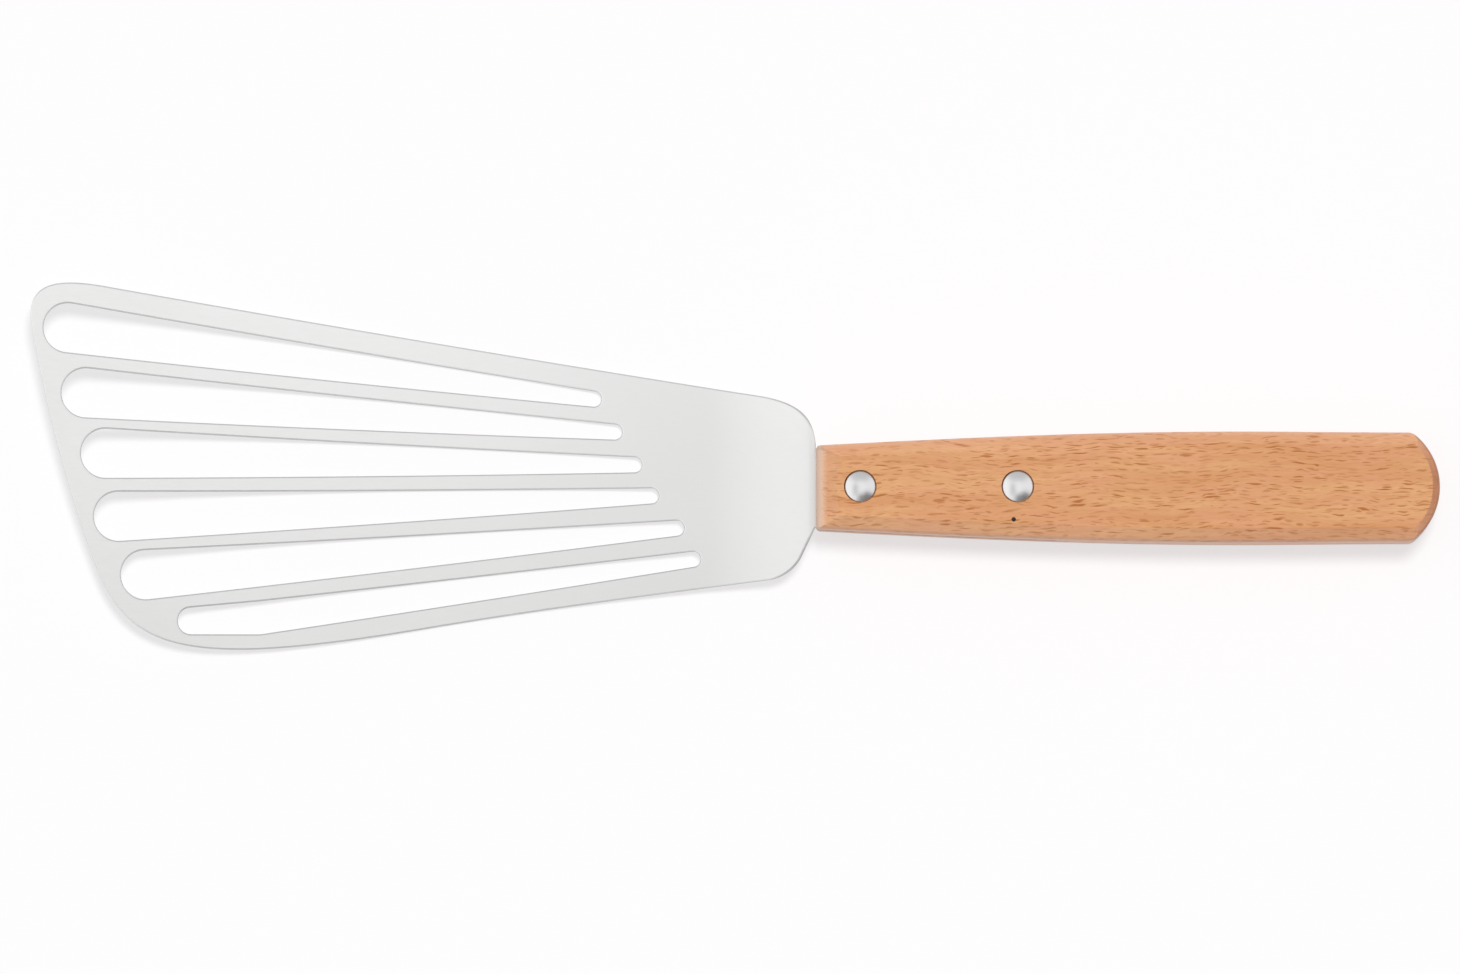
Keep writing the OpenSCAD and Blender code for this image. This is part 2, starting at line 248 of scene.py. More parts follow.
def slot_loop(circles):
    """Outline round a chain of circles along their outer tangents, anticlockwise."""
    ways = []
    for (a, ra), (b, rb) in zip(circles, circles[1:]):
        gap = b - a
        way = math.degrees(math.atan2(gap[1], gap[0]))
        ways.append((way, math.degrees(math.acos((ra - rb) / np.linalg.norm(gap)))))

    def joint(circle, start, end):
        if end > start:
            return arc(circle[0], circle[1], start, end)
        middle = (start + end) / 2
        return arc(circle[0], circle[1], middle, middle)[:1]

    first, last = ways[0], ways[-1]
    points = joint(circles[0], first[0] + first[1], first[0] + 360 - first[1])
    for i in range(1, len(circles) - 1):
        before, after = ways[i - 1], ways[i]
        points += joint(circles[i], before[0] - before[1], after[0] - after[1])
    points += joint(circles[-1], last[0] - last[1], last[0] + last[1])
    for i in range(len(circles) - 2, 0, -1):
        before, after = ways[i - 1], ways[i]
        points += joint(circles[i], after[0] + after[1], before[0] + before[1])
    return points


def fine_loop(points, step):
    """Closed loop with no repeated points and no stretch longer than step."""
    out = []
    for i, a in enumerate(points):
        b = points[(i + 1) % len(points)]
        length = np.linalg.norm(b - a)
        if length < 1e-6:
            continue
        count = math.ceil(length / step)
        out += [a + (b - a) * k / count for k in range(count)]
    return np.array(out)


def blade_rims():
    """The sheet's outline anticlockwise, then its slots and rivet holes clockwise."""
    chains = [[(placed(a), SLOT_LEAD_R), (placed(b), SLOT_REAR_R)] for a, b in LONG_SLOT_SHARES]
    short_radii = (SHORT_LEAD_R, SHORT_WIDE_R, SLOT_REAR_R)
    chains.append([(placed(s), r) for s, r in zip(SHORT_SLOT_SHARES, short_radii)])
    rims = [fine_loop(blade_loop(), RIM_STEP)]
    rims += [fine_loop(slot_loop(chain), RIM_STEP)[::-1] for chain in chains]
    for x in (RIVET_LEAD, REAR_RIVET):
        ring = arc((BLADE_L + x, HANDLE_LINE), BARREL_R + BARREL_CLEAR, 360, 0, BORE_STEP)
        rims.append(fine_loop(ring[:-1], RIM_STEP))
    return rims


def rim_normals(rim):
    """Normals to the right of the rim's way, and how much longer they are at its corners."""
    ahead = np.roll(rim, -1, 0) - rim
    ahead /= np.linalg.norm(ahead, axis=1)[:, None]
    sides = np.stack([ahead[:, 1], -ahead[:, 0]], 1)
    both = sides + np.roll(sides, 1, 0)
    unit = both / np.linalg.norm(both, axis=1)[:, None]
    lean = np.clip((unit * sides).sum(1), 0.5, 1)
    return unit, 1 / lean


def sheet_profile():
    """Height and slope of the sheet's upper and lower face along the blade."""
    lean = math.asin((CRANK_X - BELLY_X) / BOW_R)
    tip_lean = -math.asin((BELLY_X + PROFILE_OVER) / BOW_R)
    points = []
    for a in np.linspace(tip_lean, lean, BOW_STEPS + 1):
        x = BELLY_X + BOW_R * math.sin(a)
        z = SHEET_T / 2 + BOW_R * (1 - math.cos(a))
        points.append((x, z, a))
    start = np.array(points[-1][:2])
    end = np.array([BLADE_L - TANG_LEAD, MIDDLE_Z])
    run = end[0] - start[0]
    lead = start + CRANK_LEAD * run * np.array([1, math.tan(lean)])
    tail = end - np.array([CRANK_TAIL * run, 0])
    nudge = 1e-4
    for t in np.linspace(0, 1, CRANK_STEPS + 1)[1:]:
        p = bezier(start, lead, tail, end, t)
        q = bezier(start, lead, tail, end, t - nudge)
        points.append((p[0], p[1], math.atan2(p[1] - q[1], p[0] - q[0])))
    points.append((BLADE_L + TANG_L + PROFILE_OVER, MIDDLE_Z, 0.0))
    m = np.array(points)
    side = np.stack([-np.sin(m[:, 2]), np.cos(m[:, 2])], 1)
    upper = m[:, :2] + side * SHEET_T / 2
    lower = m[:, :2] - side * SHEET_T / 2
    return upper, lower, m[:, 2]


UPPER, LOWER, SLOPES = sheet_profile()


def height(x, up):
    face = UPPER if up else LOWER
    return np.interp(x, face[:, 0], face[:, 1])


def slope_at(x, up):
    face = UPPER if up else LOWER
    return np.interp(x, face[:, 0], SLOPES)


def face_normals(x, up):
    slope = slope_at(x, up)
    sign = 1 if up else -1
    return sign * np.stack([-np.sin(slope), np.zeros_like(slope), np.cos(slope)], 1)


def edge_normals(x, unit, up):
    slope = slope_at(x, up)
    return np.stack([unit[:, 0] * np.cos(slope), unit[:, 1], unit[:, 0] * np.sin(slope)], 1)


def drawn_in(xy, unit, up):
    """Plan of one face's edge: from the belly back, cut faces stand square to the sheet."""
    slope = np.maximum(slope_at(xy[:, 0], up), 0)
    sign = 1 if up else -1
    share = np.clip(sign * unit[:, 0] / FULLY_DRAWN, 0, 1)
    step = SHEET_T * np.sin(slope) * share
    return np.column_stack([xy[:, 0] - sign * step, xy[:, 1]])


def inner_rim(rim):
    """Plan of a rim where its rounding meets the face."""
    unit, longer = rim_normals(rim)
    return rim - unit * (longer * EDGE_R)[:, None]


def edge_rows(rim, up):
    """Plan, height and normals of each row of a rim's rounding, from the cut face inwards."""
    unit, longer = rim_normals(rim)
    sign = 1 if up else -1
    for i in range(EDGE_STEPS + 1):
        a = math.radians(90 * i / EDGE_STEPS)
        plan = rim - unit * (longer * EDGE_R * (1 - math.cos(a)))[:, None]
        xy = drawn_in(plan, unit, up)
        z = height(xy[:, 0], up) - sign * EDGE_R * (1 - math.sin(a))
        normals = edge_normals(xy[:, 0], unit, up) * math.cos(a)
        normals += face_normals(xy[:, 0], up) * math.sin(a)
        normals /= np.linalg.norm(normals, axis=1)[:, None]
        yield xy, z, normals


def inside_rims(points, rims):
    odd = np.zeros(len(points), bool)
    for rim in rims:
        for (ax, ay), (bx, by) in zip(rim, np.roll(rim, -1, 0)):
            if ay == by:
                continue
            hit = (points[:, 1] < ay) != (points[:, 1] < by)
            cross = ax + (points[:, 1] - ay) * (bx - ax) / (by - ay)
            odd ^= hit & (points[:, 0] < cross)
    return odd


def without_slivers(triangles, rim_edges):
    """Triangles that join up inside the rims: flat ones just outside share no inner edge."""
    on_rim = {frozenset(edge) for edge in rim_edges}
    kept = [[frozenset(pair) for pair in zip(t, t[1:] + t[:1])] for t in triangles]
    while True:
        uses = Counter(pair for pairs in kept for pair in pairs)
        sound = [all(uses[p] == 2 or p in on_rim for p in pairs) for pairs in kept]
        if all(sound):
            return triangles
        triangles = [t for t, good in zip(triangles, sound) if good]
        kept = [pairs for pairs, good in zip(kept, sound) if good]


def anticlockwise(triangle, plan):
    a, b, c = (plan[i] for i in triangle)
    area = (b[0] - a[0]) * (c[1] - a[1]) - (b[1] - a[1]) * (c[0] - a[0])
    return triangle if area > 0 else triangle[::-1]


def fill_rims(rims):
    """Points spread inside the rims, and triangles over the rims' points and then these."""
    xs = np.concatenate([
        np.arange(2.0, CRANK_X - 1, GRID_STEP),
        np.arange(CRANK_X - 1, BLADE_L + 1, CRANK_GRID_STEP),
        np.arange(BLADE_L + 4, BLADE_L + TANG_L, TANG_GRID_STEP),
    ])
    ys = np.arange(GRID_STEP / 2, BLADE_W, GRID_STEP)
    grid = np.array([(x, y) for x in xs for y in ys])
    rim_points = np.concatenate(rims)
    least_square = 0.6
    far = np.array([np.min(np.sum((rim_points - g) ** 2, 1)) > least_square for g in grid])
    grid = grid[far & inside_rims(grid, rims)]
    plan = np.concatenate([rim_points, grid])
    edges = []
    offset = 0
    for rim in rims:
        count = len(rim)
        edges += [(offset + j, offset + (j + 1) % count) for j in range(count)]
        offset += count
    made = geometry.delaunay_2d_cdt([Vector(p) for p in plan], edges, [], 0, 1e-6, True)
    source = np.array([ids[0] for ids in made[3]])
    triangles = source[np.array(made[2])]
    triangles = triangles[inside_rims(plan[triangles].mean(1), rims)]
    triangles = without_slivers(triangles.tolist(), edges)
    return grid, [anticlockwise(t, plan) for t in triangles]


def build_blade():
    """The sheet with a small rounding on every cut edge, upper and lower."""
    rims = blade_rims()
    vertices, normals, faces = [], [], []

    def add(xy, z, n):
        start = sum(len(v) for v in vertices)
        vertices.append(np.column_stack([xy + SHIFT, z]))
        normals.append(n)
        return start

    def band(low, high, count, flip):
        for j in range(count):
            m = (j + 1) % count
            quad = (low + j, low + m, high + m, high + j)
            faces.append(quad[::-1] if flip else quad)

    inner = {True: [], False: []}
    for rim in rims:
        count = len(rim)
        rows = {up: [add(*row) for row in edge_rows(rim, up)] for up in (True, False)}
        band(rows[False][0], rows[True][0], count, False)
        for i in range(EDGE_STEPS):
            band(rows[True][i], rows[True][i + 1], count, False)
            band(rows[False][i], rows[False][i + 1], count, True)
        for up in (True, False):
            inner[up] += range(rows[up][-1], rows[up][-1] + count)

    grid, triangles = fill_rims([inner_rim(rim) for rim in rims])
    for up in (True, False):
        start = add(grid, height(grid[:, 0], up), face_normals(grid[:, 0], up))
        place = inner[up] + list(range(start, start + len(grid)))
        for t in triangles:
            faces.append([place[i] for i in (t if up else t[::-1])])
    return make_object(
        "blade_sheet", np.concatenate(vertices) * MM, faces, np.concatenate(normals)
    )


def corner_run(r, w, corner):
    """How far ahead of the butt arc's centre a butt corner's own centre lies."""
    return math.sqrt((r - corner) ** 2 - (w - corner) ** 2)


TAIL_X = HANDLE_L - BUTT_R + corner_run(BUTT_R, TAIL_W / 2, BUTT_CORNER_R)


def half_w(x):
    """Half width of the handle at a distance from its front."""
    if x < WIDEST_X:
        rise = math.sin(math.pi / 2 * x / WIDEST_X)
        return FRONT_W / 2 + (WIDEST_W - FRONT_W) / 2 * rise
    share = min(1, (x - WIDEST_X) / (TAIL_X - WIDEST_X))
    return TAIL_W / 2 + (WIDEST_W - TAIL_W) / 4 * (1 + math.cos(math.pi * share))


def half_ring(front, side, butt):
    """Upper half of the handle's plan, each point with its bevel's height."""
    fr = max(LEAST_CORNER_R, FRONT_CORNER_R - side)
    br = max(LEAST_CORNER_R, BUTT_CORNER_R - side)
    r = BUTT_R - butt
    w = TAIL_W / 2 - side
    butt_x = HANDLE_L - BUTT_R
    corner_x = butt_x + corner_run(r, w, br)
    lean = math.degrees(math.atan2(w - br, corner_x - butt_x))
    side_x = front + fr
    points = []
    for i in range(FRONT_STEPS + 1):
        a = math.radians(180 - 90 * i / FRONT_STEPS)
        y = half_w(side_x) - side - fr + fr * math.sin(a)
        h = FRONT_BEVEL_H + (SIDE_BEVEL_H - FRONT_BEVEL_H) * i / FRONT_STEPS
        points.append((side_x + fr * math.cos(a), y, h))
    for i in range(1, SIDE_STEPS):
        x = side_x + (corner_x - side_x) * i / SIDE_STEPS
        points.append((x, half_w(x) - side, SIDE_BEVEL_H))
    for i in range(CORNER_STEPS + 1):
        a = math.radians(90 + (lean - 90) * i / CORNER_STEPS)
        h = SIDE_BEVEL_H + (BUTT_BEVEL_H - SIDE_BEVEL_H) * i / CORNER_STEPS
        points.append((corner_x + br * math.cos(a), w - br + br * math.sin(a), h))
    for i in range(1, BUTT_STEPS + 1):
        a = math.radians(lean * (1 - i / BUTT_STEPS))
        points.append((butt_x + r * math.cos(a), r * math.sin(a), BUTT_BEVEL_H))
    return points


def bevel_steps():
    """Steps up a bevel as shares of its width and height: lip, flat and softened crease."""
    flat = (1 / LIP_SHARE - 1) * math.cos(LIP_TURN) / (1 + math.cos(LIP_TURN))
    rise = 1 / (1 + flat)
    steps = []
    for i in range(LIP_STEPS + 1):
        a = LIP_TURN * i / LIP_STEPS
        inward = LIP_SHARE * (1 - math.cos(a)) / (1 - math.cos(LIP_TURN))
        steps.append((inward, rise * math.sin(a) / math.sin(LIP_TURN)))
    slope = (1 - rise) / (1 - LIP_SHARE)
    for i in range(CREASE_STEPS + 1):
        t = i / CREASE_STEPS
        inward = 1 - CREASE_SHARE * (1 - 2 * t)
        steps.append((inward, 1 - slope * CREASE_SHARE * (1 - t) ** 2))
    return steps


def ring(step, up):
    """One closed ring of the handle's skin, above or below its middle."""
    inward, upward = step
    half = half_ring(FRONT_BEVEL_L * inward, SIDE_BEVEL_W * inward, BUTT_BEVEL_L * inward)
    full = half + [(x, -y, h) for x, y, h in half[-2::-1]]
    return [(x, y, up * (HANDLE_T / 2 - h * (1 - upward))) for x, y, h in full]


def cut(target, cutter):
    """Takes cutter away from target and removes it."""
    step = target.modifiers.new("cut", "BOOLEAN")
    step.operation = "DIFFERENCE"
    step.solver = "EXACT"
    step.object = cutter
    bpy.context.view_layer.update()
    graph = bpy.context.evaluated_depsgraph_get()
    mesh = bpy.data.meshes.new_from_object(target.evaluated_get(graph))
    target.modifiers.remove(step)
    target.data = mesh
    bpy.data.objects.remove(cutter)


def lathe(name, profile, centre):
    """Solid of revolution about Z from a profile of radius and height."""
    vertices, faces, rows = [], [], []
    for r, z in profile:
        if r < 1e-6:
            rows.append([len(vertices)] * LATHE_SEGMENTS)
            vertices.append((0, 0, z * MM))
            continue
        row = []
        for i in range(LATHE_SEGMENTS):
            a = 2 * math.pi * i / LATHE_SEGMENTS
            row.append(len(vertices))
            vertices.append((r * math.cos(a) * MM, r * math.sin(a) * MM, z * MM))
        rows.append(row)
    for low, high in zip(rows, rows[1:]):
        for i in range(LATHE_SEGMENTS):
            j = (i + 1) % LATHE_SEGMENTS
            face = []
            for v in (low[i], low[j], high[j], high[i]):
                if v not in face:
                    face.append(v)
            if len(face) > 2:
                faces.append(face)
    made = make_object(name, vertices, faces)
    made.location = Vector(centre) * MM
    return made


def sharpen(thing, degrees):
    thing.data.set_sharp_from_angle(angle=math.radians(degrees))


def kerf_box():
    """Slab that saws the kerf from the handle's front and through both narrow sides."""
    thick = (SHEET_T / 2 + KERF_CLEAR) * MM
    wide = KERF_HALF_W * MM
    ends = (-KERF_OVER * MM, KERF_L * MM)
    corners = [(x, y, z) for x in ends for y in (-wide, wide) for z in (-thick, thick)]
    sides = [(0, 1, 3, 2), (4, 6, 7, 5), (0, 4, 5, 1)]
    sides += [(2, 3, 7, 6), (0, 2, 6, 4), (1, 5, 7, 3)]
    return make_object("kerf", corners, sides)


def build_handle():
    """The bevelled handle with its kerf, bores and counterbores."""
    steps = bevel_steps()
    rings = [ring(step, -1) for step in reversed(steps)]
    rings += [ring(step, 1) for step in steps]
    n = len(rings[0])
    vertices = [(x * MM, y * MM, z * MM) for r in rings for x, y, z in r]
    faces = [tuple(range(n))]
    for k in range(len(rings) - 1):
        for i in range(n):
            j = (i + 1) % n
            faces.append((n * k + j, n * k + i, n * k + n + i, n * k + n + j))
    top = n * (len(rings) - 1)
    faces.append(tuple(top + i for i in range(n - 1, -1, -1)))
    body = make_object("handle_wood", vertices, faces)
    cut(body, kerf_box())
    bore = BARREL_R + BARREL_CLEAR
    seat = HEAD_R + HEAD_CLEAR
    for x in (RIVET_LEAD, REAR_RIVET):
        drill = [(0, -DRILL_END), (seat, -DRILL_END), (seat, -SEAT_H), (bore, -SEAT_H)]
        drill += [(bore, SEAT_H), (seat, SEAT_H), (seat, DRILL_END), (0, DRILL_END)]
        cut(body, lathe("drill", drill, (x, 0, 0)))
    body.data.transform(Matrix.Translation(Vector((FRONT_X, HANDLE_Y, MIDDLE_Z)) * MM))
    body.data.polygons.foreach_set("use_smooth", [True] * len(body.data.polygons))
    sharpen(body, WOOD_SHARP)
    even = body.modifiers.new("even", "WEIGHTED_NORMAL")
    even.keep_sharp = True
    even.weight = 100
    return body


def head_profile():
    """Upper half's head, from its seat round the rim to the top of the crown."""
    edge = HEAD_R + HEAD_SPREAD
    rim_z = SEAT_H + RIM_T - HEAD_SOFT_R
    points = [(edge, SEAT_H), (edge, rim_z)]
    lean = math.asin(HEAD_R / DOME_R)
    for i in range(1, HEAD_SOFT_STEPS):
        a = math.radians(90 * i / HEAD_SOFT_STEPS) * (1 - lean / (math.pi / 2))
        r = edge - HEAD_SOFT_R * (1 - math.cos(a))
        points.append((r, rim_z + HEAD_SOFT_R * math.sin(a)))
    last = points[-1][0]
    for i in range(1, CROWN_STEPS + 1):
        r = last * (1 - i / CROWN_STEPS)
        points.append((r, CROWN_TOP - DOME_R + math.sqrt(DOME_R**2 - r**2)))
    return points


def build_rivet(name, x):
    """Post half with its head above and its pin, and cap half with its barrel."""
    centre = (FRONT_X + x, HANDLE_Y, MIDDLE_Z)
    post = [(0, PIN_TIP), (PIN_R - PIN_CHAMFER, PIN_TIP), (PIN_R, PIN_TIP + PIN_CHAMFER)]
    post += [(PIN_R, SEAT_H)] + head_profile()
    bore = PIN_R + PIN_CLEAR
    cap = [(0, PIN_TIP - PIN_PAST), (bore, PIN_TIP - PIN_PAST), (bore, BARREL_MOUTH)]
    cap += [(BARREL_R, BARREL_MOUTH), (BARREL_R, -SEAT_H)]
    cap += [(r, -z) for r, z in head_profile()]
    upper = lathe(name + "_post_head", post, centre)
    lower = lathe(name + "_cap_head", cap[::-1], centre)
    sharpen(upper, RIVET_SHARP)
    sharpen(lower, RIVET_SHARP)
    return upper, lower


# Materials


def rgb(r, g, b):
    return (r, g, b, 1.0)


# Ends of the blade's painted light and faint clouds: its colour on the shaded and on the lit side
STEEL_SHADED = rgb(0.718, 0.715, 0.710)
STEEL_LIT = rgb(0.830, 0.828, 0.824)
STEEL_LINE = rgb(0.66, 0.655, 0.65)
# Colour of the cut edges: sheared steel's tone with painted shade
STEEL_CUT_SHADE = rgb(0.32, 0.315, 0.31)
TURNED_DULL = rgb(0.66, 0.65, 0.655)
TURNED_BRIGHT = rgb(0.74, 0.73, 0.735)
BAND_DARK = rgb(0.670, 0.318, 0.142)
BAND_PALE = rgb(0.778, 0.425, 0.203)
CLOUD_ROSY = rgb(0.745, 0.355, 0.202)
FIBRE_DARK = rgb(0.60, 0.265, 0.105)
# Painted sheen on the handle's bevels
BEVEL_SHEEN = rgb(0.800, 0.445, 0.300)
RAY_FAINT = rgb(0.62, 0.275, 0.115)
RAY_SMALL = rgb(0.47, 0.178, 0.052)
RAY_LARGE = rgb(0.43, 0.150, 0.040)
# Painted reflection on the front lip
LIP_REFLECTION = rgb(0.84, 0.60, 0.46)
END_DARK = rgb(0.38, 0.142, 0.065)
END_PALE = rgb(0.50, 0.200, 0.096)
END_PORE = rgb(0.28, 0.095, 0.042)
SPOT_DARK = rgb(0.020, 0.005, 0.003)

# A dark pore in the upper face beside the rear rivet
SPOT_AT = (58.2, -11.72, 15.3)
SPOT_R = 0.54
SPOT_CORE_R = 0.40


def material(name):
    made = bpy.data.materials.new(name)
    made.use_nodes = True
    made.node_tree.nodes.clear()
    return made


class Nodes:
    """Short ways to add nodes to one material or to the world."""

    def __init__(self, owner):
        self.tree = owner.node_tree

    def put(self, value, socket):
        if isinstance(value, bpy.types.NodeSocket):
            self.tree.links.new(value, socket)
        else:
            socket.default_value = value

    def add(self, kind, settings=None, **inputs):
        node = self.tree.nodes.new(kind)
        for key, value in (settings or {}).items():
            setattr(node, key, value)
        for key, value in inputs.items():
            self.put(value, node.inputs[key.replace("_", " ")])
        return node

    def math(self, operation, a, b=0.0):
        node = self.add("ShaderNodeMath", {"operation": operation})
        self.put(a, node.inputs[0])
        self.put(b, node.inputs[1])
        return node.outputs[0]

    def plus(self, a, b):
        return self.math("ADD", a, b)

    def minus(self, a, b):
        return self.math("SUBTRACT", a, b)

    def times(self, a, b):
        return self.math("MULTIPLY", a, b)

    def size(self, a):
        return self.math("ABSOLUTE", a)

    def vector(self, operation, a, b=(0.0, 0.0, 0.0)):
        node = self.add("ShaderNodeVectorMath", {"operation": operation})
        self.put(a, node.inputs[0])
        self.put(b, node.inputs[1])
        return node.outputs["Value" if operation in ("LENGTH", "DOT_PRODUCT") else "Vector"]

    def split(self, vector):
        node = self.add("ShaderNodeSeparateXYZ", Vector=vector)
        return [node.outputs[axis] for axis in "XYZ"]

    def combine(self, **inputs):
        return self.add("ShaderNodeCombineXYZ", **inputs).outputs[0]

    def noise(self, where, stretch, detail=2.0, rough=0.5):
        scaled = self.vector("MULTIPLY", where, stretch)
        node = self.add(
            "ShaderNodeTexNoise", Vector=scaled, Scale=1.0, Detail=detail, Roughness=rough
        )
        return node.outputs["Fac"]

    def map(self, value, low, high, to_low=0.0, to_high=1.0, smooth=False):
        node = self.add("ShaderNodeMapRange")
        node.interpolation_type = "SMOOTHSTEP" if smooth else "LINEAR"
        self.put(value, node.inputs["Value"])
        self.put(low, node.inputs["From Min"])
        self.put(high, node.inputs["From Max"])
        self.put(to_low, node.inputs["To Min"])
        self.put(to_high, node.inputs["To Max"])
        return node.outputs["Result"]

    def mix(self, share, a, b):
        node = self.add("ShaderNodeMix", {"data_type": "RGBA"})
        self.put(share, node.inputs[0])
        self.put(a, node.inputs[6])
        self.put(b, node.inputs[7])
        return node.outputs[2]

    def mix_shader(self, share, a, b):
        node = self.add("ShaderNodeMixShader")
        for value, socket in zip((share, a, b), node.inputs):
            self.put(value, socket)
        return node.outputs[0]

    def place(self):
        """Place in the part's frame, in millimetres."""
        node = self.add("ShaderNodeTexCoord")
        return self.vector("MULTIPLY", node.outputs["Object"], (1 / MM, 1 / MM, 1 / MM))

    def facing(self):
        return self.split(self.add("ShaderNodeNewGeometry").outputs["Normal"])

    def bump(self, value, strength, depth):
        node = self.add("ShaderNodeBump", Height=value, Strength=strength, Distance=depth * MM)
        return node.outputs["Normal"]

    def finish(self, surface, kind="ShaderNodeOutputMaterial"):
        self.put(surface, self.add(kind).inputs["Surface"])


def satin_steel():
    made = material("satin_steel")
    n = Nodes(made)
    p = n.place()

    # The sheet is brighter towards its long corner, which is painted light, with faint clouds and
    # rolling lines
    rolled = n.noise(p, (0.35, 9.0, 1.0), 3.0, 0.6)
    cloud = n.noise(p, (0.02, 0.03, 0.03))
    grain = n.noise(p, (7.0, 14.0, 7.0), 2.0, 0.7)
    across = n.split(p)[1]
    # Painted light, brighter towards +Y, plus faint clouds of tone
    painted_light_and_cloud = n.plus(n.map(across, -36.0, 34.0, 0.0, 0.8), n.map(cloud, 0.3, 0.7, 0.0, 0.2))
    tint = n.mix(painted_light_and_cloud, STEEL_SHADED, STEEL_LIT)
    tint = n.mix(n.map(rolled, 0.3, 0.7, 0.0, 0.1), tint, STEEL_LINE)
    rough = n.map(n.plus(rolled, grain), 0.7, 1.3, 0.32, 0.42)

    # The cut edges are rougher than the faces, and darker: partly the sheared steel's own tone,
    # partly painted shade for the dark line along them
    cut_edge_shade = n.map(n.size(n.facing()[2]), 0.72, 0.42, 0.0, 1.0, True)
    tint = n.mix(n.times(cut_edge_shade, 0.55), tint, STEEL_CUT_SHADE)
    rough = n.plus(rough, n.times(cut_edge_shade, 0.12))
    shader = n.add(
        "ShaderNodeBsdfPrincipled",
        Base_Color=tint,
        Roughness=rough,
        Metallic=1.0,
        Normal=n.bump(n.plus(n.times(rolled, 0.6), grain), 0.05, 0.02),
    )
    n.finish(shader.outputs["BSDF"])
    return made


def turned_steel():
    made = material("turned_steel")
    n = Nodes(made)
    r = n.vector("LENGTH", n.vector("MULTIPLY", n.place(), (1.0, 1.0, 0.0)))
    rings = n.noise(n.combine(X=r), (14.0, 1.0, 1.0), 3.0, 0.7)
    shader = n.add(
        "ShaderNodeBsdfPrincipled",
        Base_Color=n.mix(n.map(rings, 0.3, 0.7), TURNED_DULL, TURNED_BRIGHT),
        Roughness=n.map(rings, 0.3, 0.7, 0.20, 0.30),
        Metallic=1.0,
        Anisotropic=0.15,
        Normal=n.bump(rings, 0.06, 0.02),
        Tangent=n.add("ShaderNodeTangent", {"direction_type": "RADIAL", "axis": "Z"}).outputs[0],
    )
    n.finish(shader.outputs["BSDF"])
    return made


